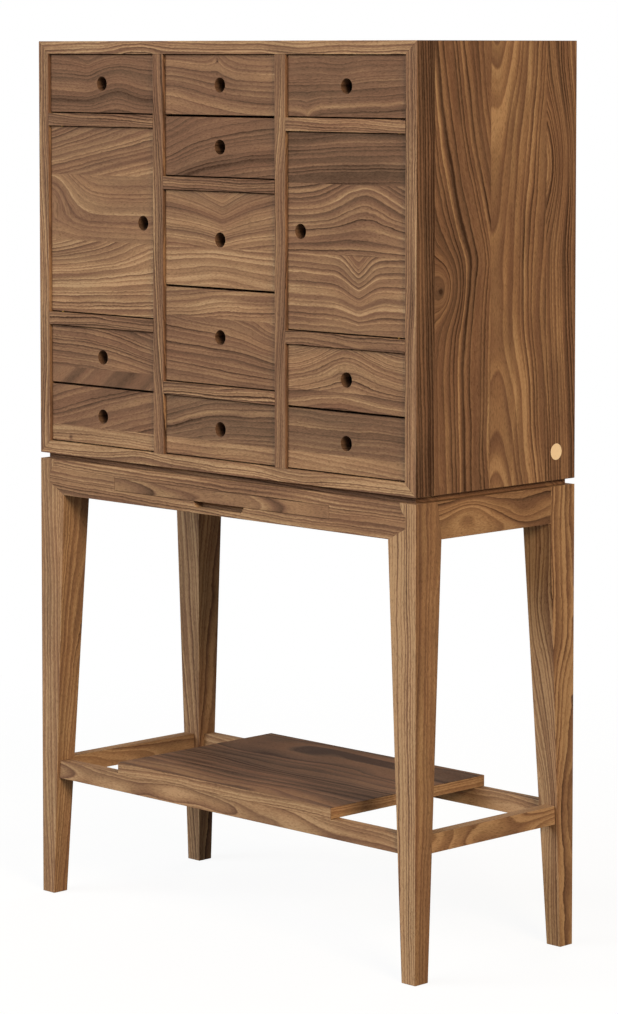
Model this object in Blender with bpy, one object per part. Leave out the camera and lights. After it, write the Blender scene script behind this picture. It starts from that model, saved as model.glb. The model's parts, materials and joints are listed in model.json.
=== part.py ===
# Tall walnut cabinet on a tapered stand, with drawers, two doors and a hidden tray.
# Metres, +Z up. X runs across the front, the front faces -Y, and the origin is on the
# floor below the middle of the cabinet.

import bpy
import bmesh
import math
from mathutils import Vector

# Overall size
WIDTH = 0.907
DEPTH = 0.380
STAND_HEIGHT = 0.771
WAIST_HEIGHT = 0.010
CARCASS_HEIGHT = 0.719

# Seam between two pieces that touch
FIT = 0.0003

# Carcass boards
PANEL = 0.022
SIDE_PANEL = 0.025
PARTITION = 0.025
DIVIDER = 0.0215
SMALL_BAY = 0.1025
BACK_PANEL = 0.008
BACK_SETBACK = 0.002
REBATE = 0.010
LEDGE = 0.010
DOOR_STOP = 0.012

# Drawer fronts and doors
FRONT = 0.020
REVEAL = 0.0052
FRONT_GAP = 0.0015
FRONT_FOOT_GAP = 0.0024
PAIR_GAP = 0.0040
HOLE_RADIUS = 0.0125
DOOR_HOLE_INSET = 0.0287

# Drawer boxes
BOX_SIDE = 0.011
BOX_BOTTOM = 0.006
BOX_BOTTOM_LIFT = 0.007
BOX_HEAD_GAP = 0.012
BOX_BACK_GAP = 0.006
TAIL_PITCH = 0.028
TAIL_LENGTH = 0.014
TAIL_ROOT = 0.013
TAIL_TIP = 0.018

# Pivot pins of the doors
PIVOT_RADIUS = 0.0025
PIVOT_FROM_EDGE = 0.022
PIVOT_FROM_FACE = 0.007
PIVOT_IN_DOOR = 0.014
PIVOT_IN_DIVIDER = 0.008

# Waist between the carcass and the stand
WAIST_INSET = 0.011
WAIST_RAIL = 0.040

# Legs and aprons
LEG_WIDTH = 0.0615
LEG_DEPTH = 0.059
FOOT = 0.030
APRON = 0.022
APRON_HEIGHT = 0.061
TONGUE_REACH = 0.0375
TONGUE_TOP_REACH = 0.0255
TONGUE_LOW = 0.020
TONGUE_HIGH = 0.038
SHOULDER_LEAN = 0.0095
APRON_TENON = 0.008
APRON_TENON_LENGTH = 0.024
APRON_TENON_SHOULDER = 0.012

# Stretchers and the shelf that lies on them
STRETCHER = 0.022
STRETCHER_HEIGHT = 0.0312
STRETCHER_BOTTOM = 0.2065
STRETCHER_SETBACK = 0.005
STRETCHER_TENON = 0.010
STRETCHER_TENON_HEIGHT = 0.020
STRETCHER_TENON_LENGTH = 0.012
SHELF = 0.019
SHELF_LENGTH = 0.519

# Hidden tray in the front apron
TRAY_LENGTH = 0.519
TRAY_HEIGHT = 0.0213
TRAY_LIFT = 0.020
TRAY_GAP = 0.0006
TRAY_BACK_GAP = 0.036
TRAY_WALL = 0.008
TRAY_BOTTOM = 0.005
TRAY_BOX_INSET = 0.001
TRAY_RUNNER = 0.014
TRAY_RUNNER_LEDGE = 0.008
TRAY_RUNNER_GAP = 0.001
GRIP_TOP_LENGTH = 0.123
GRIP_BOTTOM_LENGTH = 0.108
GRIP_DEPTH = 0.0105
GRIP_CORNER = 0.004
GRIP_WALL = 0.006
GRIP_LIP = 0.007
GRIP_HOOK = 0.006

# Inlaid disc on the right side
DISC_RADIUS = 0.0135
DISC_THICKNESS = 0.003
DISC_FROM_BACK = 0.0465
DISC_FROM_BOTTOM = 0.047

# Facets of round shapes, and how far a cutter runs past the face that it opens
HOLE_FACETS = 32
PIN_FACETS = 20
CURVE_STEPS = 6
OVERCUT = 0.005

# Colour, roughness and metallic value of each finish
FINISHES = {
    "walnut_carcass": ((0.200, 0.098, 0.050), 0.42, 0.0),
    "walnut_front": ((0.290, 0.165, 0.095), 0.42, 0.0),
    "walnut_stand": ((0.240, 0.120, 0.062), 0.42, 0.0),
    "maple_box": ((0.640, 0.470, 0.300), 0.50, 0.0),
    "brass_pin": ((0.780, 0.560, 0.240), 0.30, 1.0),
    "pale_inlay": ((0.900, 0.560, 0.290), 0.45, 0.0),
}

# Levels and faces that several pieces share
HALF_WIDTH = WIDTH / 2
HALF_DEPTH = DEPTH / 2
CARCASS_BOTTOM = STAND_HEIGHT + WAIST_HEIGHT
CARCASS_TOP = CARCASS_BOTTOM + CARCASS_HEIGHT
INNER_BOTTOM = CARCASS_BOTTOM + PANEL
INNER_TOP = CARCASS_TOP - PANEL
INNER_HALF_WIDTH = HALF_WIDTH - SIDE_PANEL
BAY_WIDTH = (2 * INNER_HALF_WIDTH - 2 * PARTITION) / 3
COLUMN_STEP = BAY_WIDTH + PARTITION
TALL_BAY = CARCASS_HEIGHT - 2 * PANEL - 2 * DIVIDER - 3 * SMALL_BAY
FRONT_FACE = -HALF_DEPTH + REVEAL
FRONT_BACK = FRONT_FACE + FRONT
BACK_FACE = HALF_DEPTH - BACK_SETBACK - BACK_PANEL
APRON_BOTTOM = STAND_HEIGHT - APRON_HEIGHT
STRETCHER_TOP = STRETCHER_BOTTOM + STRETCHER_HEIGHT
TRAY_LOW = APRON_BOTTOM + TRAY_LIFT
TRAY_HIGH = TRAY_LOW + TRAY_HEIGHT
APRON_BACK = -HALF_DEPTH + APRON

# What each column holds, from the bottom up
SIDE_BAYS = ("pair", "door", "single")
MIDDLE_BAYS = ("single", "tall_pair", "pair")


def add_group(name, place):
    group = bpy.data.objects.new(name, None)
    group.location = place
    bpy.context.collection.objects.link(group)
    return group


def add_finish(name, finish):
    colour, roughness, metallic = FINISHES[finish]
    material = bpy.data.materials.new(name)
    material.use_nodes = True
    shader = material.node_tree.nodes["Principled BSDF"]
    shader.inputs["Base Color"].default_value = (*colour, 1.0)
    shader.inputs["Roughness"].default_value = roughness
    shader.inputs["Metallic"].default_value = metallic
    return material


def add_object(name, form, group=None, finish=None):
    # A piece hangs on its group's empty and has a finish. A cutter has neither.
    if group is not None:
        bmesh.ops.translate(form, verts=form.verts, vec=-group.location)
    bmesh.ops.recalc_face_normals(form, faces=form.faces)
    mesh = bpy.data.meshes.new(name)
    form.to_mesh(mesh)
    form.free()
    obj = bpy.data.objects.new(name, mesh)
    bpy.context.collection.objects.link(obj)
    if group is None:
        obj.hide_render = True
        obj.display_type = "WIRE"
    else:
        obj.parent = group
        mesh.materials.append(add_finish(name, finish))
    return obj


def prism(outline, axis, start, end):
    # Extrudes a flat outline along an axis. The outline holds the other two coordinates in order.
    form = bmesh.new()
    corners = []
    for first, second in outline:
        point = [first, second]
        point.insert("xyz".index(axis), start)
        corners.append(form.verts.new(point))
    face = form.faces.new(corners)
    extruded = bmesh.ops.extrude_face_region(form, geom=[face])
    moved = [item for item in extruded["geom"] if isinstance(item, bmesh.types.BMVert)]
    travel = [0.0, 0.0, 0.0]
    travel["xyz".index(axis)] = end - start
    bmesh.ops.translate(form, verts=moved, vec=travel)
    return form


def block(low, high):
    outline = [(low[0], low[1]), (high[0], low[1]), (high[0], high[1]), (low[0], high[1])]
    return prism(outline, "z", low[2], high[2])


def circle(centre, radius, facets):
    points = []
    for step in range(facets):
        angle = 2 * math.pi * (step + 0.5) / facets
        points.append((centre[0] + radius * math.cos(angle), centre[1] + radius * math.sin(angle)))
    return points


def curve(start, pull, end):
    # Quadratic curve from start to end, drawn towards the point pull
    points = []
    for step in range(CURVE_STEPS + 1):
        t = step / CURVE_STEPS
        points.append(Vector(start) * (1 - t) ** 2 + Vector(pull) * 2 * t * (1 - t) + Vector(end) * t ** 2)
    return points


def grow(outline, amount):
    # Moves each edge of a counter-clockwise outline outwards
    grown = []
    for index, here in enumerate(outline):
        into = (Vector(here) - Vector(outline[index - 1])).normalized()
        away = (Vector(outline[(index + 1) % len(outline)]) - Vector(here)).normalized()
        first = Vector((into.y, -into.x))
        second = Vector((away.y, -away.x))
        middle = (first + second).normalized()
        grown.append(Vector(here) + middle * (amount / middle.dot(first)))
    return grown


def boolean(obj, tool, operation):
    modifier = obj.modifiers.new(tool.name, "BOOLEAN")
    modifier.operation = operation
    modifier.solver = "EXACT"
    modifier.object = tool


def cut(obj, name, form):
    boolean(obj, add_object(name, form), "DIFFERENCE")


def fuse(obj, name, form):
    boolean(obj, add_object(name, form), "UNION")


# Carcass

def bay_height(kind):
    if kind == "single":
        return SMALL_BAY
    if kind == "pair":
        return 2 * SMALL_BAY
    return TALL_BAY


def bays_from_bottom(kinds):
    bays = []
    level = INNER_BOTTOM
    for kind in kinds:
        bays.append((kind, level, level + bay_height(kind)))
        level += bay_height(kind) + DIVIDER
    return bays


def column_middle(place):
    return place * COLUMN_STEP


def back_outline(clearance):
    x = INNER_HALF_WIDTH + REBATE - FIT + clearance
    low = INNER_BOTTOM - REBATE + FIT - clearance
    high = INNER_TOP + REBATE - FIT + clearance
    return [(-x, low), (x, low), (x, high), (-x, high)]


def add_mitred_boards(carcass):
    # Top, bottom and sides meet in mitres, with half of the seam cut from each board.
    mitre = FIT * math.sqrt(0.5)
    x_out = HALF_WIDTH - mitre
    x_in = INNER_HALF_WIDTH - mitre
    outlines = {
        "carcass_top": [(-x_out, CARCASS_TOP), (-x_in, INNER_TOP), (x_in, INNER_TOP), (x_out, CARCASS_TOP)],
        "carcass_bottom": [(-x_out, CARCASS_BOTTOM), (x_out, CARCASS_BOTTOM),
                           (x_in, INNER_BOTTOM), (-x_in, INNER_BOTTOM)],
    }
    for name, side in (("carcass_side_left", -1), ("carcass_side_right", 1)):
        outlines[name] = [(side * HALF_WIDTH, CARCASS_BOTTOM + mitre), (side * HALF_WIDTH, CARCASS_TOP - mitre),
                          (side * INNER_HALF_WIDTH, INNER_TOP - mitre),
                          (side * INNER_HALF_WIDTH, INNER_BOTTOM + mitre)]
    boards = {}
    for name, outline in outlines.items():
        board = add_object(name, prism(outline, "y", -HALF_DEPTH, HALF_DEPTH), carcass, "walnut_carcass")
        seat = prism(back_outline(FIT), "y", BACK_FACE - FIT, HALF_DEPTH + OVERCUT)
        cut(board, name + "_rebate", seat)
        boards[name] = board
    back = prism(back_outline(0.0), "y", BACK_FACE, BACK_FACE + BACK_PANEL)
    add_object("back_panel", back, carcass, "walnut_carcass")
    return boards


def add_partitions(carcass):
    boards = {}
    for name, side in (("partition_left", -1), ("partition_right", 1)):
        middle = side * COLUMN_STEP / 2
        low = (middle - PARTITION / 2, -HALF_DEPTH, INNER_BOTTOM + FIT)
        high = (middle + PARTITION / 2, BACK_FACE - FIT, INNER_TOP - FIT)
        boards[name] = add_object(name, block(low, high), carcass, "walnut_carcass")
    return boards


def add_dividers(carcass, column, place, bays):
    dividers = []
    reach = BAY_WIDTH / 2 - FIT
    middle = column_middle(place)
    for name, bay in zip(("lower", "upper"), bays):
        low = (middle - reach, -HALF_DEPTH, bay[2])
        high = (middle + reach, BACK_FACE - FIT, bay[2] + DIVIDER)
        node = f"{column}_divider_{name}"
        dividers.append(add_object(node, block(low, high), carcass, "walnut_carcass"))
    return dividers


def fuse_ledge(board, name, wall, inward, split):
    # Strip on the face of a board that carries the upper drawer of a pair
    edges = sorted((wall + inward * LEDGE, wall - inward * FIT))
    low = (edges[0], FRONT_BACK + FRONT_GAP, split - LEDGE / 2)
    high = (edges[1], BACK_FACE - BOX_BACK_GAP, split + LEDGE / 2)
    fuse(board, name, block(low, high))


def fuse_door_stop(board, name, wall, inward, low_level, high_level):
    # Strip behind a door's free edge that the closed door rests on
    edges = sorted((wall + inward * DOOR_STOP, wall - inward * FIT))
    low = (edges[0], FRONT_BACK + FIT, low_level + FIT)
    high = (edges[1], FRONT_BACK + FIT + DOOR_STOP, high_level - FIT)
    fuse(board, name, block(low, high))


# Drawers and doors

def cut_finger_hole(obj, x, z):
    hole = circle((x, z), HOLE_RADIUS, HOLE_FACETS)
    cut(obj, obj.name + "_hole", prism(hole, "y", FRONT_FACE - OVERCUT, FRONT_BACK + OVERCUT))


def dovetails(x_low, x_high, low, high, clearance):
    # Row of tails on the front end of a drawer side, each wider at its tip inside the drawer front
    count = max(1, int((high - low) / TAIL_PITCH))
    pitch = (high - low) / count
    root = TAIL_ROOT / 2
    tip = TAIL_TIP / 2
    row = bmesh.new()
    for number in range(count):
        level = low + (number + 0.5) * pitch
        tail = [(FRONT_BACK + BOX_SIDE, level - root), (FRONT_BACK + BOX_SIDE, level + root),
                (FRONT_BACK, level + root), (FRONT_BACK - TAIL_LENGTH, level + tip),
                (FRONT_BACK - TAIL_LENGTH, level - tip), (FRONT_BACK, level - root)]
        form = prism(grow(tail, clearance), "x", x_low, x_high)
        mesh = bpy.data.meshes.new("tail")
        form.to_mesh(mesh)
        form.free()
        row.from_mesh(mesh)
        bpy.data.meshes.remove(mesh)
    return row


def add_drawer(name, middle, front_low, front_high, seat, head):
    # The box slides on seat, a board or a pair of ledges, and clears head above it.
    hole_level = (front_low + front_high) / 2
    group = add_group(name, Vector((middle, FRONT_FACE, hole_level)))
    reach = BAY_WIDTH / 2 - FRONT_GAP
    front = block((middle - reach, FRONT_FACE, front_low), (middle + reach, FRONT_BACK, front_high))
    face = add_object(name + "_front", front, group, "walnut_front")
    cut_finger_hole(face, middle, hole_level)

    inner = reach - BOX_SIDE
    box_low = seat + FIT
    box_high = head - BOX_HEAD_GAP
    near = FRONT_BACK + FIT
    far = BACK_FACE - BOX_BACK_GAP
    floor_low = box_low + BOX_BOTTOM_LIFT
    box = block((middle - reach, near, box_low), (middle + reach, far, box_high))
    body = add_object(name + "_box", box, group, "maple_box")
    inside = block((middle - inner, near - OVERCUT, floor_low + BOX_BOTTOM),
                   (middle + inner, far - BOX_SIDE, box_high + OVERCUT))
    cut(body, name + "_inside", inside)
    underside = block((middle - inner, near - OVERCUT, box_low - OVERCUT),
                      (middle + inner, far - BOX_SIDE, floor_low))
    cut(body, name + "_underside", underside)
    for side_name, side in (("left", -1), ("right", 1)):
        wall = sorted((middle + side * inner, middle + side * reach))
        fuse(body, f"{name}_tails_{side_name}", dovetails(*wall, box_low, box_high, 0.0))
        socket = sorted((middle + side * (inner - FIT), middle + side * (reach + OVERCUT)))
        cut(face, f"{name}_sockets_{side_name}", dovetails(*socket, box_low, box_high, FIT))


def add_door(column, place, low, high, dividers):
    # The outer edge of each door turns on a brass pin at its top and bottom.
    middle = column_middle(place)
    reach = BAY_WIDTH / 2 - FRONT_GAP
    pivot_x = middle + place * (reach - PIVOT_FROM_EDGE)
    pivot_y = FRONT_FACE + PIVOT_FROM_FACE
    door_low = low + FRONT_FOOT_GAP
    door_high = high - FRONT_GAP
    group = add_group(column + "_door_hinge", Vector((pivot_x, pivot_y, door_low)))
    panel = block((middle - reach, FRONT_FACE, door_low), (middle + reach, FRONT_BACK, door_high))
    door = add_object(column + "_door", panel, group, "walnut_front")
    cut_finger_hole(door, middle - place * (reach - DOOR_HOLE_INSET), (low + high) / 2)

    pin = circle((pivot_x, pivot_y), PIVOT_RADIUS, PIN_FACETS)
    seat = circle((pivot_x, pivot_y), PIVOT_RADIUS + FIT, PIN_FACETS)
    ends = {
        "lower": (low - PIVOT_IN_DIVIDER, door_low + PIVOT_IN_DOOR),
        "upper": (door_high - PIVOT_IN_DOOR, high + PIVOT_IN_DIVIDER),
    }
    for divider, (name, (start, end)) in zip(dividers, ends.items()):
        node = f"{column}_door_pin_{name}"
        add_object(node, prism(pin, "z", start, end), group, "brass_pin")
        cut(door, node + "_socket", prism(seat, "z", start - FIT, end + FIT))
        cut(divider, node + "_hole", prism(seat, "z", start - FIT, end + FIT))


def add_column(carcass, boards, column, place, walls):
    kinds = SIDE_BAYS if place else MIDDLE_BAYS
    bays = bays_from_bottom(kinds)
    dividers = add_dividers(carcass, column, place, bays)
    middle = column_middle(place)
    number = 1
    for kind, low, high in reversed(bays):
        if kind == "door":
            add_door(column, place, low, high, dividers)
            wall = middle - place * BAY_WIDTH / 2
            fuse_door_stop(boards[walls[place]], column + "_door_stop", wall, place, low, high)
            continue
        name = f"{column}_drawer_{number}"
        if kind == "single":
            add_drawer(name, middle, low + FRONT_FOOT_GAP, high - FRONT_GAP, low, high)
            number += 1
            continue
        split = (low + high) / 2
        lower_name = f"{column}_drawer_{number + 1}"
        add_drawer(name, middle, split + PAIR_GAP / 2, high - FRONT_GAP, split + LEDGE / 2, high)
        add_drawer(lower_name, middle, low + FRONT_FOOT_GAP, split - PAIR_GAP / 2, low, split - LEDGE / 2)
        for side in (-1, 1):
            wall = middle + side * BAY_WIDTH / 2
            fuse_ledge(boards[walls[-side]], f"{name}_ledge_{-side}", wall, -side, split)
        number += 2


def add_inlaid_disc(carcass, side_board):
    centre = (HALF_DEPTH - DISC_FROM_BACK, CARCASS_BOTTOM + DISC_FROM_BOTTOM)
    seat = circle(centre, DISC_RADIUS + FIT, HOLE_FACETS)
    disc = circle(centre, DISC_RADIUS, HOLE_FACETS)
    bed = HALF_WIDTH - DISC_THICKNESS
    cut(side_board, "disc_seat", prism(seat, "x", bed - FIT, HALF_WIDTH + OVERCUT))
    add_object("inlay_disc", prism(disc, "x", bed, HALF_WIDTH), carcass, "pale_inlay")


# Stand

def leg_width_at(level):
    return FOOT + (LEG_WIDTH - FOOT) * level / APRON_BOTTOM


def leg_depth_at(level):
    return FOOT + (LEG_DEPTH - FOOT) * level / APRON_BOTTOM


def leg_form(x_side, y_side):
    # The outer faces are upright and the two inner faces taper down to the foot.
    form = bmesh.new()
    sizes = ((0.0, FOOT, FOOT), (APRON_BOTTOM, LEG_WIDTH, LEG_DEPTH), (STAND_HEIGHT, LEG_WIDTH, LEG_DEPTH))
    rings = []
    for level, width, depth in sizes:
        x_in = x_side * (HALF_WIDTH - width)
        y_in = y_side * (HALF_DEPTH - depth)
        x_out = x_side * HALF_WIDTH
        y_out = y_side * HALF_DEPTH
        corners = ((x_in, y_in), (x_out, y_in), (x_out, y_out), (x_in, y_out))
        rings.append([form.verts.new((x, y, level)) for x, y in corners])
    form.faces.new(rings[0])
    form.faces.new(rings[-1])
    for lower, upper in zip(rings, rings[1:]):
        for index in range(4):
            following = (index + 1) % 4
            form.faces.new((lower[index], lower[following], upper[following], upper[index]))
    return form


def apron_outline():
    # Each end is a tongue: it rises from the leg's inner corner, stands upright and sweeps back.
    inner = HALF_WIDTH - LEG_WIDTH
    low = (inner + TONGUE_REACH, APRON_BOTTOM + TONGUE_LOW)
    high = (inner + TONGUE_REACH, APRON_BOTTOM + TONGUE_HIGH)
    top = (inner + TONGUE_TOP_REACH, STAND_HEIGHT)
    pull = (top[0], high[1] + (TONGUE_REACH - TONGUE_TOP_REACH))
    right = [(inner, APRON_BOTTOM), low] + [tuple(point) for point in curve(high, pull, top)]
    left = [(-x, z) for x, z in reversed(right)]
    return right + left


def side_apron_outline():
    # The front end leans into the front leg, and the back end is square.
    near = -HALF_DEPTH + LEG_DEPTH
    far = HALF_DEPTH - LEG_DEPTH - FIT
    return [(near, APRON_BOTTOM), (far, APRON_BOTTOM), (far, STAND_HEIGHT), (near - SHOULDER_LEAN, STAND_HEIGHT)]


def side_apron_tenon(x_side, clearance):
    # One bar stands for the tenons at both ends. The apron hides its middle.
    thick = APRON_TENON / 2 + clearance
    middle = x_side * (HALF_WIDTH - APRON / 2)
    reach = HALF_DEPTH - LEG_DEPTH + APRON_TENON_LENGTH + clearance
    low = APRON_BOTTOM + APRON_TENON_SHOULDER - clearance
    high = STAND_HEIGHT - APRON_TENON_SHOULDER + clearance
    return block((middle - thick, -reach, low), (middle + thick, reach, high))


def stretcher_outline(half, width_at):
    low = half - width_at(STRETCHER_BOTTOM) - FIT
    high = half - width_at(STRETCHER_TOP) - FIT
    return [(-low, STRETCHER_BOTTOM), (low, STRETCHER_BOTTOM), (high, STRETCHER_TOP), (-high, STRETCHER_TOP)]


def stretcher_tenon(axis, side, clearance):
    # As on the side aprons, one bar along the stretcher makes the tenons at both ends.
    thick = STRETCHER_TENON / 2 + clearance
    tall = STRETCHER_TENON_HEIGHT / 2 + clearance
    level = STRETCHER_BOTTOM + STRETCHER_HEIGHT / 2
    half, width_at = (HALF_WIDTH, leg_width_at) if axis == "x" else (HALF_DEPTH, leg_depth_at)
    across = HALF_DEPTH if axis == "x" else HALF_WIDTH
    middle = side * (across - STRETCHER_SETBACK - STRETCHER / 2)
    reach = half - width_at(level) + STRETCHER_TENON_LENGTH + clearance
    outline = [(middle - thick, level - tall), (middle + thick, level - tall),
               (middle + thick, level + tall), (middle - thick, level + tall)]
    return prism(outline, axis, -reach, reach)


def add_legs(stand):
    lap = grow(apron_outline(), FIT)
    side_lap = grow(side_apron_outline(), FIT)
    for y_name, y_side in (("front", -1), ("back", 1)):
        for x_name, x_side in (("left", -1), ("right", 1)):
            leg = add_object(f"leg_{y_name}_{x_name}", leg_form(x_side, y_side), stand, "walnut_stand")
            ends = sorted((y_side * (HALF_DEPTH + OVERCUT), y_side * (HALF_DEPTH - APRON - FIT)))
            cut(leg, leg.name + "_lap", prism(lap, "y", *ends))
            ends = sorted((x_side * (HALF_WIDTH + OVERCUT), x_side * (HALF_WIDTH - APRON - FIT)))
            cut(leg, leg.name + "_shoulder", prism(side_lap, "x", *ends))
            cut(leg, leg.name + "_apron_mortise", side_apron_tenon(x_side, FIT))
            cut(leg, leg.name + "_long_mortise", stretcher_tenon("x", y_side, FIT))
            cut(leg, leg.name + "_short_mortise", stretcher_tenon("y", x_side, FIT))


def grip_form():
    # Finger cut below the tray, closed at its back, with leaning ends and round lower corners
    low = TRAY_LOW - GRIP_DEPTH
    lean = Vector(((GRIP_TOP_LENGTH - GRIP_BOTTOM_LENGTH) / 2, GRIP_DEPTH)).normalized()
    corner = Vector((GRIP_BOTTOM_LENGTH / 2, low))
    right = curve(corner - Vector((GRIP_CORNER, 0.0)), corner, corner + lean * GRIP_CORNER)
    right.append(Vector((GRIP_TOP_LENGTH / 2, TRAY_LOW)))
    right.append(Vector((GRIP_TOP_LENGTH / 2, TRAY_LOW + TRAY_GAP)))
    left = [(-point.x, point.y) for point in reversed(right)]
    outline = [tuple(point) for point in right] + left
    return prism(outline, "y", -HALF_DEPTH - OVERCUT, APRON_BACK - GRIP_WALL)


def add_aprons(stand):
    for name, y_side in (("front", -1), ("back", 1)):
        ends = sorted((y_side * HALF_DEPTH, y_side * (HALF_DEPTH - APRON)))
        apron = add_object(f"apron_{name}", prism(apron_outline(), "y", *ends), stand, "walnut_stand")
        if name == "front":
            reach = TRAY_LENGTH / 2 + TRAY_GAP
            mouth = block((-reach, -HALF_DEPTH - OVERCUT, TRAY_LOW - TRAY_GAP),
                          (reach, APRON_BACK + OVERCUT, TRAY_HIGH + TRAY_GAP))
            cut(apron, "tray_mouth", mouth)
            cut(apron, "tray_grip", grip_form())
    for name, x_side in (("left", -1), ("right", 1)):
        ends = sorted((x_side * HALF_WIDTH, x_side * (HALF_WIDTH - APRON)))
        apron = add_object(f"apron_{name}", prism(side_apron_outline(), "x", *ends), stand, "walnut_stand")
        fuse(apron, apron.name + "_tenon", side_apron_tenon(x_side, 0.0))


def add_stretchers(stand):
    long_outline = stretcher_outline(HALF_WIDTH, leg_width_at)
    short_outline = stretcher_outline(HALF_DEPTH, leg_depth_at)
    for name, side in (("front", -1), ("back", 1)):
        outer = HALF_DEPTH - STRETCHER_SETBACK
        ends = sorted((side * outer, side * (outer - STRETCHER)))
        rail = add_object(f"stretcher_{name}", prism(long_outline, "y", *ends), stand, "walnut_stand")
        fuse(rail, rail.name + "_tenon", stretcher_tenon("x", side, 0.0))
    for name, side in (("left", -1), ("right", 1)):
        outer = HALF_WIDTH - STRETCHER_SETBACK
        ends = sorted((side * outer, side * (outer - STRETCHER)))
        rail = add_object(f"stretcher_{name}", prism(short_outline, "x", *ends), stand, "walnut_stand")
        fuse(rail, rail.name + "_tenon", stretcher_tenon("y", side, 0.0))


def add_shelf(stand):
    edge = HALF_DEPTH - STRETCHER_SETBACK
    low = STRETCHER_TOP + FIT
    board = block((-SHELF_LENGTH / 2, -edge, low), (SHELF_LENGTH / 2, edge, low + SHELF))
    add_object("shelf", board, stand, "walnut_stand")


def add_waist(stand):
    x = HALF_WIDTH - WAIST_INSET
    y = HALF_DEPTH - WAIST_INSET
    low = STAND_HEIGHT + FIT
    high = CARCASS_BOTTOM - FIT
    ring = add_object("waist_frame", block((-x, -y, low), (x, y, high)), stand, "walnut_stand")
    x -= WAIST_RAIL
    y -= WAIST_RAIL
    cut(ring, "waist_inside", block((-x, -y, low - OVERCUT), (x, y, high + OVERCUT)))


def add_tray(stand):
    group = add_group("tray", Vector((0.0, -HALF_DEPTH, (TRAY_LOW + TRAY_HIGH) / 2)))
    reach = TRAY_LENGTH / 2
    front = block((-reach, -HALF_DEPTH, TRAY_LOW), (reach, APRON_BACK, TRAY_HIGH))
    board = add_object("tray_front", front, group, "walnut_stand")
    # Fingertips in the cut below hook into a groove behind the lip of the tray's front.
    groove = block((-GRIP_BOTTOM_LENGTH / 2, -HALF_DEPTH + GRIP_LIP, TRAY_LOW - OVERCUT),
                   (GRIP_BOTTOM_LENGTH / 2, APRON_BACK - GRIP_WALL, TRAY_LOW + GRIP_HOOK))
    cut(board, "tray_groove", groove)

    near = APRON_BACK + FIT
    far = HALF_DEPTH - APRON - TRAY_BACK_GAP
    low = TRAY_LOW + TRAY_BOX_INSET
    high = TRAY_HIGH - TRAY_BOX_INSET
    reach -= TRAY_BOX_INSET
    tray = add_object("tray_box", block((-reach, near, low), (reach, far, high)), group, "maple_box")
    inner = reach - TRAY_WALL
    inside = block((-inner, near + TRAY_WALL, low + TRAY_BOTTOM), (inner, far - TRAY_WALL, high + OVERCUT))
    cut(tray, "tray_inside", inside)

    # Two runners hang between the aprons and carry the tray on an inward ledge.
    wall_in = reach + TRAY_RUNNER_GAP
    wall_out = wall_in + TRAY_RUNNER
    ledge_in = reach - TRAY_WALL
    ledge_top = low - FIT
    outline = [(ledge_in, ledge_top - TRAY_RUNNER_LEDGE), (wall_out, ledge_top - TRAY_RUNNER_LEDGE),
               (wall_out, high), (wall_in, high), (wall_in, ledge_top), (ledge_in, ledge_top)]
    for name, side in (("left", -1), ("right", 1)):
        section = [(side * x, z) for x, z in outline]
        runner = prism(section, "y", near, HALF_DEPTH - APRON - FIT)
        add_object(f"tray_runner_{name}", runner, stand, "maple_box")


def main():
    for obj in list(bpy.data.objects):
        bpy.data.objects.remove(obj, do_unlink=True)
    carcass = add_group("carcass", Vector((0.0, 0.0, CARCASS_BOTTOM)))
    boards = add_mitred_boards(carcass)
    boards.update(add_partitions(carcass))
    # The walls on each column's left and right, by the side that they face
    columns = {
        "left": (-1, {1: "carcass_side_left", -1: "partition_left"}),
        "middle": (0, {1: "partition_left", -1: "partition_right"}),
        "right": (1, {1: "partition_right", -1: "carcass_side_right"}),
    }
    for column, (place, walls) in columns.items():
        add_column(carcass, boards, column, place, walls)
    add_inlaid_disc(carcass, boards["carcass_side_right"])

    stand = add_group("stand", Vector((0.0, 0.0, 0.0)))
    add_legs(stand)
    add_aprons(stand)
    add_stretchers(stand)
    add_shelf(stand)
    add_waist(stand)
    add_tray(stand)


main()
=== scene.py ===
import functools
import json
import math
import random

import bmesh
import bpy
from mathutils import Matrix, Vector
from mathutils.bvhtree import BVHTree
from mathutils.geometry import intersect_point_line


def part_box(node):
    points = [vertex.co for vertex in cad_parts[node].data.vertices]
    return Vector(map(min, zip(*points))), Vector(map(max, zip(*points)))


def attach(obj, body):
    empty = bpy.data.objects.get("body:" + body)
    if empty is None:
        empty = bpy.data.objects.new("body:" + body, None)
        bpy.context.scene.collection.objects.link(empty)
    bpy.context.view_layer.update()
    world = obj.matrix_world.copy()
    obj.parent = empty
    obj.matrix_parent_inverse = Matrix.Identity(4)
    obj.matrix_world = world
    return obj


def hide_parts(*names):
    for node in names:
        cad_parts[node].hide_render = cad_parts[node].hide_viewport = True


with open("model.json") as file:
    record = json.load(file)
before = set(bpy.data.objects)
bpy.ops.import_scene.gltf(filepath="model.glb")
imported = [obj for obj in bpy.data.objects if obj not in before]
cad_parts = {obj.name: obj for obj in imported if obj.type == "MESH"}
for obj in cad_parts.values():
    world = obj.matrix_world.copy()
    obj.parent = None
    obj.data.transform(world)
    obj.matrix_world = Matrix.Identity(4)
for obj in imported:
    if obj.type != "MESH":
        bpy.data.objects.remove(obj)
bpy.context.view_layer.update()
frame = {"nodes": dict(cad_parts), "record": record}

mm = 0.001
axisNumber = {"x": 0, "y": 1, "z": 2}
nodes = frame["nodes"]
bodyOf = {}
for bodyName, members in frame["record"]["behaviour"]["bodies"].items():
    for nodeName in members:
        bodyOf[nodeName] = bodyName


def hexColour(text):
    channels = [int(text[place:place + 2], 16) / 255 for place in (1, 3, 5)]
    linear = [c / 12.92 if c <= 0.04045 else ((c + 0.055) / 1.055) ** 2.4 for c in channels]
    return (*linear, 1.0)


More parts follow.
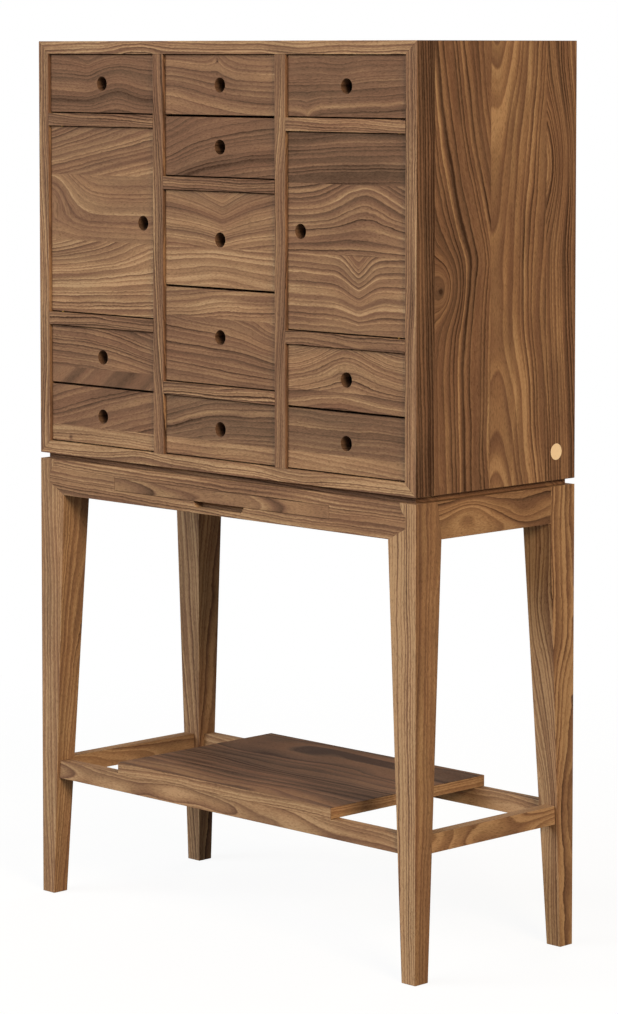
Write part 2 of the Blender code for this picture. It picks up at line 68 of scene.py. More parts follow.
def addNode(tree, kind, *values, sockets=None, **settings):
    # one node with its settings; values fill its sockets in order, sockets fills them by name or number,
    # and each of them is a plain value, a node or a node's output
    made = tree.nodes.new("ShaderNode" + kind)
    for setting, value in settings.items():
        setattr(made, setting, value)
    for socket, value in [*enumerate(values), *(sockets or {}).items()]:
        if isinstance(value, bpy.types.Node):
            value = next(output for output in value.outputs if output.enabled)
        if isinstance(value, bpy.types.NodeSocket):
            tree.links.new(value, made.inputs[socket])
        else:
            made.inputs[socket].default_value = value
    return made


def newMaterial(name):
    material = bpy.data.materials.new(name)
    material.use_nodes = True
    material.node_tree.nodes.clear()
    return material, functools.partial(addNode, material.node_tree)


def perMm(*sizes):
    return tuple(1 / size for size in sizes)


# The grain of every board is drawn in its own millimetres: along the grain, across the show face
# and into the wood. Arches lift the grain lines in a round swell, crotches in a pointed one.
# A band is one grain line that stands out, light or dark.
swellKinds = ("arch", "arch", "crotch", "crotch")
bandCount = 3
faceTitles = ["board", "seed", "pith", "flow", "tone", "eased", "knot", "hue"]
faceTitles += [f"band{number}" for number in range(bandCount)]
faceTitles += [f"{title}{number}" for title in ("swell", "reach") for number in range(len(swellKinds))]
fallBase = math.exp(-1)      # raised to a distance, it falls off softly


def makeWood(name, wood):
    material, add = newMaterial(name)

    def grainNoise(source, sizes, detail, rough=0.55):
        # sizes are in millimetres along, across and into the wood
        scaled = add("VectorMath", source, perMm(*sizes), operation="MULTIPLY")
        return add("TexNoise", sockets={"Vector": scaled, "Scale": 1.0, "Detail": detail, "Roughness": rough})

    def ringNoise(first, second, detail):
        flat = add("CombineXYZ", first, second)
        return add("TexNoise", sockets={"Vector": flat, "Scale": 1.0, "Detail": detail},
                   noise_dimensions="2D")

    def plusNoise(total, source, height):
        centred = add("Math", source, 0.5, operation="SUBTRACT")
        return add("Math", centred, height, total, operation="MULTIPLY_ADD")

    # what each face of a board carries, whole and in its three parts
    whole = {}
    partsOf = {}
    for title in faceTitles:
        whole[title] = add("Attribute", attribute_name=title).outputs["Vector"]
        partsOf[title] = add("SeparateXYZ", whole[title]).outputs
    place = whole["board"]
    shifted = add("VectorMath", place, whole["seed"], operation="ADD")
    along, across, deep = partsOf["board"]
    seedAlong, seedAcross = partsOf["seed"][:2]
    pithAcross, pithDeep, pithLean = partsOf["pith"]
    tilt, wander, bow = partsOf["flow"]
    light, contrast, ringWidth = partsOf["tone"]
    easedHighlightAndWear = partsOf["eased"]["X"]

    # grain lines wander slowly along the board, ripple a little and swell where a branch once was
    slow = add("SeparateXYZ", grainNoise(shifted, wood["wanderSize"], 1.0).outputs["Color"]).outputs
    ripple = grainNoise(shifted, wood["rippleSize"], 4.0, wood["rippleRough"])
    lift = add("Math", tilt, along, operation="MULTIPLY")
    lift = plusNoise(lift, slow["X"], wander)
    lift = plusNoise(lift, ripple, wood["ripple"])
    for number, kind in enumerate(swellKinds):
        offset = add("VectorMath", place, whole[f"swell{number}"], operation="SUBTRACT")
        share = add("VectorMath", offset, whole[f"reach{number}"], operation="MULTIPLY")
        if kind == "crotch":
            sides = add("SeparateXYZ", add("VectorMath", share, operation="ABSOLUTE")).outputs
            blunted = add("Math", sides["X"], sides["X"], wood["crotchTip"], operation="MULTIPLY_ADD")
            distance = add("Math", add("Math", blunted, operation="SQRT"), sides["Y"], operation="ADD")
        else:
            distance = add("VectorMath", share, share, operation="DOT_PRODUCT").outputs["Value"]
        fall = add("Math", fallBase, distance, operation="POWER")
        lift = add("Math", fall, partsOf[f"swell{number}"]["Z"], lift, operation="MULTIPLY_ADD")
    lineAcross = add("Math", across, lift, operation="SUBTRACT")
    lines = add("CombineXYZ", along, lineAcross, deep)
    flowed = add("VectorMath", lines, whole["seed"], operation="ADD")

    # growth rings lie round the pith, which runs at a lean below the face
    fromPith = add("Math", lineAcross, pithAcross, operation="SUBTRACT")
    bowed = add("Math", along, bow, pithLean, operation="MULTIPLY_ADD")
    leaning = add("Math", along, bowed, pithDeep, operation="MULTIPLY_ADD")
    below = add("Math", plusNoise(leaning, slow["Y"], wander), deep, operation="ADD")
    belowSquared = add("Math", below, below, operation="MULTIPLY")
    squares = add("Math", fromPith, fromPith, belowSquared, operation="MULTIPLY_ADD")
    radius = add("Math", squares, operation="SQRT")
    ring = add("Math", radius, ringWidth, operation="DIVIDE")
    ring = add("Math", ring, seedAcross, operation="ADD")

    # each ring is of its own width and tone, darkens slowly and ends in a thin line of late wood
    # that is strong here and faint there
    unevenAt = add("Math", ring, 1 / wood["unevenRings"], operation="MULTIPLY")
    years = plusNoise(ring, ringNoise(unevenAt, 0.0, 1.0), wood["uneven"])
    ringNumber = add("Math", years, operation="FLOOR")
    year = add("Math", years, operation="FRACT")
    ending = add("MapRange", year, wood["lineEnd"], 1.0, 1.0, 0.0, interpolation_type="SMOOTHSTEP")
    grown = add("Math", year, ending, operation="MULTIPLY")
    own = add("TexWhiteNoise", sockets={"W": ringNumber}, noise_dimensions="1D").outputs["Value"]
    ownSquared = add("Math", own, own, operation="MULTIPLY")
    lineAlong = add("Math", along, 1 / wood["lineLength"], seedAlong, operation="MULTIPLY_ADD")
    lineRow = add("Math", ringNumber, wood["lineRows"], operation="MULTIPLY")
    seen = add("MapRange", ringNoise(lineAlong, lineRow, 1.0), *wood["lineSeen"])
    strength = add("Math", seen, ownSquared, operation="MULTIPLY")
    late = add("Math", grown, 1 / wood["lineEnd"], operation="MULTIPLY")
    late = add("Math", late, wood["lineSharp"], operation="POWER")
    line = add("Math", late, strength, operation="MULTIPLY")

    # zones, rings, lines, streaks and fibres make one tone from dark to light
    fade = add("Math", along, 1 / wood["fadeLength"], seedAlong, operation="MULTIPLY_ADD")
    zoneAt = add("Math", ring, 1 / wood["zoneRings"], operation="MULTIPLY")
    streakAlong = add("Math", along, 1 / wood["streakLength"], seedAlong, operation="MULTIPLY_ADD")
    streakAt = add("Math", ring, wood["ringStreaks"], operation="MULTIPLY")
    fibre = grainNoise(flowed, wood["fibreSize"], 2.0)
    figure = add("Math", line, -wood["lineDepth"], operation="MULTIPLY")
    figure = plusNoise(figure, grown, -wood["ringDepth"])
    figure = plusNoise(figure, ringNoise(years, wood["toneRow"], 0.0), wood["toneDepth"])
    figure = plusNoise(figure, ringNoise(zoneAt, fade, 1.0), wood["zoneDepth"])
    figure = plusNoise(figure, ringNoise(streakAt, streakAlong, 2.0), wood["streakDepth"])
    level = add("Math", figure, contrast, light, operation="MULTIPLY_ADD")
    for number in range(bandCount):
        middle, narrow, depth = partsOf[f"band{number}"]
        aside = add("Math", lineAcross, middle, operation="SUBTRACT")
        aside = add("Math", aside, narrow, operation="MULTIPLY")
        fall = add("Math", fallBase, add("Math", aside, aside, operation="MULTIPLY"), operation="POWER")
        seen = add("MapRange", ringNoise(lineAlong, wood["bandRow"] + number, 1.0), *wood["bandSeen"])
        shown = add("Math", fall, seen, operation="MULTIPLY")
        level = add("Math", shown, depth, level, operation="MULTIPLY_ADD")
    level = plusNoise(level, fibre, wood["fibreDepth"])
    level = plusNoise(level, grainNoise(flowed, wood["mottleSize"], 1.0), wood["mottleDepth"])
    # eased edge faces are toned lighter: a painted highlight along every eased edge, and partly the wear of
    # rubbed edges
    level = add("Math", easedHighlightAndWear, wood["edgeHighlightAndWear"], level, operation="MULTIPLY_ADD")

    # a knot is a dark round spot
    knotAlong, knotAcross, knotShare = partsOf["knot"]
    fromKnot = add("CombineXYZ", add("Math", along, knotAlong, operation="SUBTRACT"),
                   add("Math", across, knotAcross, operation="SUBTRACT"))
    fromKnot = add("VectorMath", fromKnot, sockets={"Scale": knotShare}, operation="SCALE")
    distance = add("VectorMath", fromKnot, fromKnot, operation="DOT_PRODUCT").outputs["Value"]
    knot = add("Math", fallBase, distance, operation="POWER")
    level = add("Math", knot, -wood["knotDepth"], level, operation="MULTIPLY_ADD")

    ramp = add("ValToRGB", level)
    stops = ramp.color_ramp.elements
    while len(stops) < len(wood["colours"]):
        stops.new(0.5)
    for stop, (position, colour) in zip(stops, wood["colours"]):
        stop.position = position
        stop.color = hexColour(colour)
    cool, warm = (hexColour(text) for text in wood["tints"])
    tintNoise = grainNoise(flowed, wood["tintSize"], 1.0)
    warmth = plusNoise(partsOf["hue"]["X"], tintNoise, wood["tintDepth"])
    tint = add("Mix", sockets={0: warmth, 6: cool, 7: warm}, data_type="RGBA")     # 6 and 7 take colours
    tinted = add("Mix", sockets={0: 1.0, 6: ramp, 7: tint}, data_type="RGBA", blend_type="MULTIPLY")

    # open pores are short dark dashes that also dent the surface
    poreNoise = grainNoise(flowed, wood["poreSize"], 1.0)
    pore = add("MapRange", poreNoise, wood["poreFrom"], wood["poreFrom"] + wood["poreEdge"])
    poreShare = add("Math", pore, wood["poreDark"], operation="MULTIPLY")
    poreColour = hexColour(wood["poreColour"])
    colour = add("Mix", sockets={0: poreShare, 6: tinted, 7: poreColour}, data_type="RGBA")
    smooth, rough = wood["roughness"]
    roughness = add("MapRange", sockets={"Value": grown, "To Min": rough, "To Max": smooth})
    dents = add("Math", pore, -1.0, fibre, operation="MULTIPLY_ADD")
    bump = add("Bump", sockets={"Height": dents, "Strength": wood["bump"],
                                "Distance": wood["bumpDepth"] * mm})
    shader = add("BsdfPrincipled", sockets={"Base Color": colour, "Roughness": roughness, "Normal": bump,
                                            "Specular IOR Level": wood["specular"]})
    add("OutputMaterial", shader)
    return material


# Black walnut, planed, sanded and oiled: the oil deepens it to a warm brown with dark late-wood lines
# and honey bands and leaves the pores open, so it has a soft sheen and no mirror. Pores and fibres are
# drawn about six times as coarse as real ones (0.2 mm wide) so that they show.
walnut = {
    "colours": [(0.0, "#432F23"), (0.2, "#624A3A"), (0.5, "#805F4A"), (0.8, "#9D7A5B"), (1.0, "#B7936F")],
    "tints": ("#F3FBF8", "#FFF5F0"), "tintSize": (180, 30, 30), "tintDepth": 0.8,
    "wanderSize": (260, 90, 90), "rippleSize": (48, 22, 22), "ripple": 6.0, "rippleRough": 0.66,
    "crotchTip": 0.02,
    "unevenRings": 2.6, "uneven": 2.2,
    "lineLength": 220, "lineEnd": 0.84, "lineSharp": 3.4, "lineSeen": (0.1, 0.6), "bandSeen": (0.2, 0.5),
    "lineRows": 3.63, "toneRow": 7.3, "bandRow": 50.0,     # rows of the ring noise, each for one use
    "lineDepth": 0.7, "ringDepth": 0.42, "toneDepth": 0.36,
    "fadeLength": 300, "zoneRings": 4.0, "zoneDepth": 0.56,
    "ringStreaks": 2.3, "streakLength": 90, "streakDepth": 0.3,
    "fibreSize": (6.5, 1.5, 1.5), "fibreDepth": 0.4, "mottleSize": (90, 40, 40), "mottleDepth": 0.2,
    "poreSize": (7, 1.2, 1.2), "poreFrom": 0.56, "poreEdge": 0.1, "poreDark": 0.3, "poreColour": "#32200F",
    "knotDepth": 0.6,
    "roughness": (0.55, 0.66), "specular": 0.02, "bump": 0.25, "bumpDepth": 0.25, "edgeHighlightAndWear": 0.04,
}

# Hard maple, planed and waxed: pale cream with faint fine rings and almost no pores.
maple = {
    **walnut,
    "colours": [(0.0, "#A27B4E"), (0.3, "#C39B6A"), (0.6, "#D8B585"), (1.0, "#E8CEA4")],
    "lineDepth": 0.35, "ringDepth": 0.15, "toneDepth": 0.1, "zoneDepth": 0.3, "streakDepth": 0.25,
    "fibreDepth": 0.15, "poreDark": 0.1, "poreColour": "#8A6236", "roughness": (0.42, 0.5),
}

# Holly, planed flush, oiled and burnished: an even warm cream with hardly any grain and a soft shine.
holly = {
    **maple,
    "colours": [(0.0, "#FFE1B4"), (0.5, "#FFE3BA"), (1.0, "#FFE5C0")],
    "lineDepth": 0.05, "fibreDepth": 0.1, "edgeHighlightAndWear": 0.0, "specular": 0.5,
}

# Brass rod, turned and left to dull: warm yellow metal with fine turning lines round it,
# drawn at 0.4 mm, about twice as coarse as a fine cut leaves them.
brassRod = {
    "colours": ("#8F6A2C", "#C39A4B"), "lineGap": 0.4, "dullSize": 6, "roughness": (0.28, 0.45),
    "bump": 0.4, "bumpDepth": 0.02,
}


def makeBrass(name, brass):
    material, add = newMaterial(name)
    place = add("Attribute", attribute_name="board").outputs["Vector"]
    along = add("SeparateXYZ", place).outputs["X"]
    turned = add("Math", along, 1 / brass["lineGap"], operation="MULTIPLY")
    lines = add("TexNoise", sockets={"W": turned, "Scale": 1.0, "Detail": 2.0}, noise_dimensions="1D")
    dullAt = add("VectorMath", place, perMm(*[brass["dullSize"]] * 3), operation="MULTIPLY")
    dull = add("TexNoise", sockets={"Vector": dullAt, "Scale": 1.0, "Detail": 3.0})
    dark, bright = (hexColour(text) for text in brass["colours"])
    colour = add("Mix", sockets={0: dull, 6: dark, 7: bright}, data_type="RGBA")
    smooth, rough = brass["roughness"]
    roughness = add("MapRange", sockets={"Value": lines, "To Min": smooth, "To Max": rough})
    bump = add("Bump", sockets={"Height": lines, "Strength": brass["bump"],
                                "Distance": brass["bumpDepth"] * mm})
    shader = add("BsdfPrincipled", sockets={"Base Color": colour, "Roughness": roughness, "Normal": bump,
                                            "Metallic": 1.0})
    add("OutputMaterial", shader)
    return material


finishes = {
    "walnut_front": makeWood("walnut oiled front", walnut),
    "walnut_carcass": makeWood("walnut oiled carcass", walnut),
    "walnut_stand": makeWood("walnut oiled stand", {**walnut, "specular": 0.01}),
    "maple_box": makeWood("maple waxed", maple),
    "pale_inlay": makeWood("holly oiled", holly),
    "brass_pin": makeBrass("brass turned", brassRod),
}
slotOf = {}
for nodeName in nodes:
    if nodeName.endswith(("_box", "tray_runner_left", "tray_runner_right")):
        slotOf[nodeName] = "maple_box"
    elif "_pin_" in nodeName:
        slotOf[nodeName] = "brass_pin"
    elif nodeName == "inlay_disc":
        slotOf[nodeName] = "pale_inlay"
    elif nodeName.startswith(("leg_", "apron_", "stretcher_", "shelf", "waist_", "tray_front")):
        slotOf[nodeName] = "walnut_stand"
    elif nodeName.endswith(("_front", "_door")):
        slotOf[nodeName] = "walnut_front"
    else:
        slotOf[nodeName] = "walnut_carcass"
print("materials:", len(finishes))

# Every outer edge is eased by hand, except where another piece lies flush against it.
# Widths, reaches and lengths are in millimetres, angles in degrees.
easing = {
    "width": 0.6, "segments": 2, "sharpFrom": 25, "creaseFrom": 50, "shortEdge": 65,
    "jointReach": 0.8, "jointNear": 0.15, "jointFlat": 0.98,
    "weld": 0.002, "flatFrom": 0.5, "seamMargin": 0.05, "faceSlack": 0.02,
}
beyond = 2000      # millimetres, past every side of the cabinet


def surroundings(skipped):
    points = []
    faces = []
    for name, obj in nodes.items():
        if name != skipped:
            start = len(points)
            points += [vertex.co for vertex in obj.data.vertices]
            faces += [[start + corner for corner in face.vertices] for face in obj.data.polygons]
    return BVHTree.FromPolygons(points, faces)


def isJoint(edge, others):
    # an edge is a joint where the next piece carries on in the plane of one of its faces
    middle = (edge.verts[0].co + edge.verts[1].co) / 2
    first, second = edge.link_faces
    for face, beside in ((first, second), (second, first)):
        probe = middle + beside.normal * easing["jointReach"] * mm
        found, normal, number, distance = others.find_nearest(probe)
        if distance < easing["jointNear"] * mm and normal.dot(face.normal) > easing["jointFlat"]:
            return True
    return False


def isCramped(edge, width):
    # a short edge in an inner corner or beside a narrow face stays sharp
    inner = [other for corner in edge.verts for other in corner.link_edges if not other.is_convex]
    if edge.calc_length() < easing["shortEdge"] * mm and any(
            other.calc_face_angle_signed(0) < -math.radians(easing["sharpFrom"]) for other in inner):
        return True
    middle = (edge.verts[0].co + edge.verts[1].co) / 2
    for face in edge.link_faces:
        for other in face.edges:
            if not set(other.verts) & set(edge.verts):
                near, share = intersect_point_line(middle, other.verts[0].co, other.verts[1].co)
                if 0 < share < 1 and (near - middle).length < 2 * width * mm:
                    return True
    return False


def cutSeams(form, boards, low, high):
    # a plane cut at each board's limits keeps every face on one board
    for board in boards:
        for axis, limits in board.get("region", {}).items():
            number = axisNumber[axis]
            normal = Vector((0, 0, 0))
            normal[number] = 1
            margin = easing["seamMargin"] * mm
            for limit in limits:
                if low[number] + margin < limit * mm < high[number] - margin:
                    bmesh.ops.bisect_plane(form, geom=form.verts[:] + form.edges[:] + form.faces[:],
                                           dist=easing["weld"] * mm, plane_co=normal * limit * mm,
                                           plane_no=normal)


def easeEdges(form, nodeName, width):
    form.normal_update()
    others = surroundings(nodeName)
    sharp = []
    for edge in form.edges:
        if edge.is_convex and edge.calc_face_angle() > math.radians(easing["sharpFrom"]):
            if not isJoint(edge, others) and not isCramped(edge, width):
                sharp.append(edge)
    layer = form.faces.layers.int.new("fresh")
    made = bmesh.ops.bevel(form, geom=sharp, offset=width * mm, offset_type="OFFSET",
                           segments=easing["segments"], profile=0.5, affect="EDGES", clamp_overlap=False)
    for face in made["faces"]:
        face[layer] = 1
    form.normal_update()
    for edge in form.edges:
        edge.smooth = edge.calc_face_angle(0) < math.radians(easing["creaseFrom"])
    for face in form.faces:
        face.smooth = True
    return layer


def holds(board, point):
    # the board's seams are cut at its region; its within only picks faces
    slack = easing["faceSlack"]
    limits = {**board.get("region", {}), **board.get("within", {})}
    return all(low - slack <= point[axisNumber[axis]] / mm <= high + slack
               for axis, (low, high) in limits.items())


def boardMiddle(board, low, high):
    middle = Vector()
    for axis, number in axisNumber.items():
        first, last = board.get("region", {}).get(axis, (-beyond, beyond))
        middle[number] = (max(low[number] / mm, first) + min(high[number] / mm, last)) / 2
    return middle


# A figure gives the tone, the rings and the flow of the grain in one board. Its swells and bands are few,
# so the ones that it doesn't have lift nothing or lie out of sight.
seedSpan = 900      # millimetres of noise that boards are taken from
outOfSight = 9999
noSwell = (0, 0, 1, 1, 0)
noBand = (outOfSight, 1, 0)
plainFigure = {
    "light": 0.5, "contrast": 1.0, "ring": 9.0, "tilt": 0.0, "wander": 16.0, "bow": 0.0,
    "pith": (-400.0, 0.0, 0.0), "arches": (), "crotches": (), "bands": (),
    "knot": (outOfSight, outOfSight, 1), "hue": 0.5, "seed": 0,
}


def constantsOf(figure, dice):
    # one row of values for all faces of a board
    values = {
        "seed": tuple(dice.uniform(0, seedSpan) for axis in axisNumber),
        "pith": figure["pith"],
        "flow": (figure["tilt"], figure["wander"], figure["bow"]),
        "tone": (figure["light"], figure["contrast"], figure["ring"]),
        "knot": (*figure["knot"][:2], 1 / figure["knot"][2]),
        "hue": (figure["hue"], 0, 0),
    }
    bands = [*figure["bands"], *[noBand] * bandCount]
    for number, (across, width, depth) in enumerate(bands[:bandCount]):
        values[f"band{number}"] = (across, 1 / width, depth)
    swells = {"arch": list(figure["arches"]), "crotch": list(figure["crotches"])}
    for number, kind in enumerate(swellKinds):
        swell = swells[kind].pop(0) if swells[kind] else noSwell
        along, across, reachAlong, reachAcross, rise = swell
        values[f"swell{number}"] = (along, across, rise)
        values[f"reach{number}"] = (1 / reachAlong, 1 / reachAcross, 0)
    return values


def dress(nodeName, boards, width=easing["width"]):
    # boards say which part of the node is which piece of wood; the last one takes the rest
    low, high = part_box(nodeName)
    form = bmesh.new()
    form.from_mesh(nodes[nodeName].data)
    bmesh.ops.remove_doubles(form, verts=form.verts, dist=easing["weld"] * mm)
    bmesh.ops.dissolve_limit(form, angle_limit=math.radians(easing["flatFrom"]), verts=form.verts,
                             edges=form.edges)
    cutSeams(form, boards, low, high)
    layer = easeEdges(form, nodeName, width)

    sheets = []
    for number, board in enumerate(boards):
        number = board.get("number", number)      # its random draws go by this
        figure = {**plainFigure, **board["figure"]}
        dice = random.Random(f"{nodeName} {number} {figure['seed']}")
        grain, across = board["axes"]
        deep = ({"x", "y", "z"} - {grain, across}).pop()
        order = [axisNumber[grain], axisNumber[across], axisNumber[deep]]
        sheets.append(dict(board=board, middle=boardMiddle(board, low, high), order=order,
                           values=constantsOf(figure, dice)))

    slot = slotOf[nodeName]
    piece = bpy.data.objects.new(f"{nodeName}_{slot.split('_')[0]}", bpy.data.meshes.new(nodeName))
    bpy.context.scene.collection.objects.link(piece)
    chosen = []
    for face in form.faces:
        centre = face.calc_center_median()
        chosen.append(next((sheet for sheet in sheets if holds(sheet["board"], centre)), sheets[-1]))
    fresh = [face[layer] for face in form.faces]
    form.faces.layers.int.remove(layer)
    form.to_mesh(piece.data)
    form.free()

    attributes = piece.data.attributes
    placed = attributes.new("board", "FLOAT_VECTOR", "CORNER")
    for face, sheet in zip(piece.data.polygons, chosen):
        for loop in face.loop_indices:
            corner = piece.data.vertices[piece.data.loops[loop].vertex_index].co
            point = corner / mm - sheet["middle"]
            placed.data[loop].vector = [point[number] for number in sheet["order"]]
    for title in sheets[0]["values"]:
        attribute = attributes.new(title, "FLOAT_VECTOR", "FACE")
        for face, sheet in enumerate(chosen):
            attribute.data[face].vector = sheet["values"][title]
    eased = attributes.new("eased", "FLOAT_VECTOR", "FACE")
    for face, mark in enumerate(fresh):
        eased.data[face].vector = (mark, 0, 0)

    piece.data.materials.append(finishes[slot])
    weighted = piece.modifiers.new("flat faces", "WEIGHTED_NORMAL")
    weighted.keep_sharp = True
    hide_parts(nodeName)
    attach(piece, bodyOf[nodeName])
    return piece


quietRanges = {
    "light": (0.44, 0.56), "contrast": (0.8, 1.0), "ring": (6, 10),
    "pithAcross": (-80, 80), "pithDeep": (50, 130), "pithLean": (-0.06, 0.06),
    "tilt": (-0.02, 0.02), "wander": (12, 24),
}


def ownFigure(nodeName, number=0, **chosen):
    # a board that has no drawn figure gets a quiet one of its own
    dice = random.Random(f"figure {nodeName} {number}")
    figure = {title: dice.uniform(*limits) for title, limits in quietRanges.items()}
    figure["pith"] = tuple(figure.pop(title) for title in ("pithAcross", "pithDeep", "pithLean"))
    return {**figure, **chosen}


def between(edges):
    return list(zip(edges[:-1], edges[1:]))


# Drawer fronts and doors are cut from one set of wide glued-up panels, so the joints between the
# staves run level across all three columns. Each stave from the bottom up has its own figure; a swell
# is where it lies along and across the stave, how far it reaches both ways and how high it lifts.
fronts = {
    "joints": (833.8, 935.7, 1039.5, 1156.8, 1270.3), "easing": 0.3,
    "margin": 12,     # a joint nearer to an edge than this is planed away
    "boreInset": {"x": 14, "y": 0.5, "z": 14}, "boreNumber": 9,
    "boreShadeFigure": dict(light=0.28, contrast=0.4),     # painted shade inside the finger hole; the oil that soaks into its end grain darkens it a little too
}
frontFigures = {
    "left_drawer_1": [dict(light=0.42, contrast=0.49, ring=8, arches=[(38, -6, 55, 50, 15)],
                           crotches=[(-36, 50, 30, 34, -22)], bands=[(-28, 9, -0.2), (-8, 3, 0.15)])],
    "left_door": [dict(light=0.75, contrast=0.97, ring=8, tilt=0.06,
                       arches=[(150, 60, 110, 45, 26), (-150, 60, 110, 32, -20)],
                       bands=[(44, 14, -0.2), (18, 4, 0.22), (-12, 4, 0.2)]),
                  dict(light=0.66, contrast=0.44, ring=10, arches=[(-135, 40, 68, 60, 64)],
                       bands=[(-8, 2.6, 0.17), (-20, 4, -0.15), (24, 4, 0.1)]),
                  dict(light=0.59, contrast=0.87, ring=9, tilt=0.19, arches=[(-150, 40, 60, 40, -10)],
                       bands=[(48, 14, -0.25), (0, 5, 0.2), (22, 4, 0.2)])],
    "left_drawer_2": [dict(light=0.43, contrast=0.49, ring=60, tilt=0.7, wander=24,
                           bands=[(50, 7, -0.2), (-41, 9, -0.22), (-83, 8, -0.2)]),
                      dict(light=0.5, contrast=0.91, ring=7, arches=[(160, 0, 110, 80, -30)],
                           bands=[(-18, 3, 0.2)])],
    "left_drawer_3": [dict(light=0.82, contrast=0.62, ring=6, knot=(-85, -7, 4)),
                      dict(light=0.47, contrast=0.64, ring=11, tilt=0.23,
                           bands=[(-14, 6, -0.2), (4, 4, 0.15), (16, 5, -0.15)])],
    "middle_drawer_1": [dict(light=0.55, contrast=0.55, arches=[(-130, -10, 110, 80, 28)],
                             crotches=[(-6, 50, 26, 30, 26)], knot=(-6, 40, 3),
                             bands=[(16, 6, 0.22), (-28, 3, -0.25), (-45, 6, 0.2)])],
    "middle_drawer_2": [dict(light=0.41, contrast=0.52, tilt=0.12, arches=[(-150, 0, 80, 90, -22)],
                             bands=[(-45, 4, 0.2), (-30, 9, -0.18)])],
    "middle_drawer_3": [dict(light=0.77, contrast=0.55, ring=12, arches=[(-10, -10, 90, 60, 12)],
                             bands=[(-18, 2.6, -0.3), (-25, 3, 0.15), (14, 8, 0.15)]),
                        dict(light=0.62, contrast=0.56, ring=8, tilt=0.04, arches=[(-18, 56, 22, 16, -22)],
                             crotches=[(6, 45, 36, 50, -42), (6, 50, 90, 60, -70)],
                             bands=[(12, 4, 0.25), (-20, 4, 0.2), (40, 5, -0.2)])],
    "middle_drawer_4": [dict(light=0.51, contrast=0.73, ring=8, tilt=-0.07, arches=[(150, 45, 70, 50, -26)],
                             bands=[(-46, 7, -0.15)]),
                        dict(light=0.62, contrast=0.96, tilt=0.07, arches=[(5, 0, 60, 25, 6)],
                             bands=[(2, 2.6, -0.25), (-10, 4, 0.2), (12, 4, 0.15)])],
    "middle_drawer_5": [dict(light=0.66, contrast=0.6, ring=8, tilt=0.02),
                        dict(light=0.45, contrast=0.69, ring=10, tilt=0.03, hue=0.2,
                             arches=[(-160, 0, 95, 90, -28)],
                             bands=[(18, 4, 0.3), (8, 5, -0.2), (-20, 5, -0.1)])],
    "right_drawer_1": [dict(light=0.44, contrast=0.51, ring=8, tilt=0.03, arches=[(-10, 30, 40, 30, -6)],
                            crotches=[(-88, -50, 14, 20, -14)], bands=[(-31, 3, 0.25), (-40, 5, -0.15)])],
    "right_door": [dict(light=0.59, contrast=0.88, ring=10, wander=10, arches=[(27, 50, 30, 75, -26)],
                        crotches=[(27, 40, 14, 60, -12)],
                        bands=[(30, 4, 0.2), (6, 4, 0.2), (-20, 4, 0.2)]),
                   dict(light=0.52, contrast=0.84, ring=9, arches=[(45, 45, 80, 62, 36)],
                        bands=[(-32, 4, 0.25), (15, 2.5, 0.2), (28, 7, -0.15)]),
                   dict(light=0.27, contrast=0.58, tilt=0.045, hue=0.35,
                        bands=[(-11, 2.5, 0.25), (24, 2.5, 0.15)])],
    "right_drawer_2": [dict(light=0.49, contrast=0.62, ring=6, arches=[(-20, 0, 80, 40, 14)],
                            bands=[(-8, 3.5, 0.25), (8, 7, -0.1)]),
                       dict(light=0.65, contrast=0.84, ring=5, tilt=0.02, arches=[(-2, 20, 85, 60, 32)],
                            crotches=[(-2, 40, 40, 20, 14)], bands=[(-26, 3, 0.25), (-15, 3, -0.15)])],
    "right_drawer_3": [dict(light=0.79, contrast=0.5, ring=8, tilt=-0.06),
                       dict(light=0.48, contrast=0.57, ring=8, hue=0.2, bands=[(8, 3, 0.2), (-2, 4, -0.2)])],
}

for title, figures in frontFigures.items():
    nodeName = title if title in nodes else title + "_front"
    low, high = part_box(nodeName)
    joints = [level for level in fronts["joints"]
              if low[2] / mm + fronts["margin"] < level < high[2] / mm - fronts["margin"]]
    levels = between([-beyond, *joints, beyond])
    inside = {axis: (low[axisNumber[axis]] / mm + inset, high[axisNumber[axis]] / mm - inset)
              for axis, inset in fronts["boreInset"].items()}
    # the walls of the finger hole get a darker figure: painted shade inside the hole
    boards = [dict(within=inside, axes="xz", number=fronts["boreNumber"], figure=fronts["boreShadeFigure"])]
    for number, (limits, figure) in enumerate(zip(levels, figures)):
        boards.append(dict(region={"z": limits}, axes="xz", number=number, figure=figure))
    dress(nodeName, boards, width=fronts["easing"])
print("fronts:", len(frontFigures))

# The carcass is mitred at its four corners, its sides glued up from upright staves. Narrow edges
# show straight grain.
carcass = {
    "sideJoints": {"right": (-148.75, -17.5, 116.25), "left": (-120, 12, 128)}, "edgeNumber": 9,
    "deckJoints": (-150, -45, 70), "panelJoints": (-227, 0, 227),
    "lipping": -150, "frontFace": -189.98, "backFace": 189.98,
    "partitionMiddle": 147.0, "partitionHalf": 12.55,     # past its faces, where its ledges begin
}
straightGrain = dict(ring=5, pith=(-60, 40, 0.0))
sideFigures = [
    dict(light=0.19, contrast=1.0, ring=6, wander=14, tilt=-0.03, bands=[(-12, 2.5, 0.2), (-4, 2, 0.15)]),
    dict(light=0.49, contrast=0.85, ring=13, tilt=-0.1, wander=26, arches=[(-32, -44, 46, 34, 46)],
         crotches=[(8, 40, 150, 400, 60)], knot=(-36, -52, 5),
         bands=[(-42, 4, 0.25), (26, 3.5, 0.25), (-6, 6, -0.15)]),
    dict(light=0.64, contrast=1.05, ring=11, seed=2, pith=(-58, 60, 0.0), bow=-0.00032, wander=30,
         arches=[(-70, 10, 90, 80, -14)], bands=[(-10, 4, 0.15), (22, 4, 0.15)]),
    dict(light=0.49, contrast=1.15, ring=8, tilt=-0.05, arches=[(165, -31, 95, 50, 45)]),
]
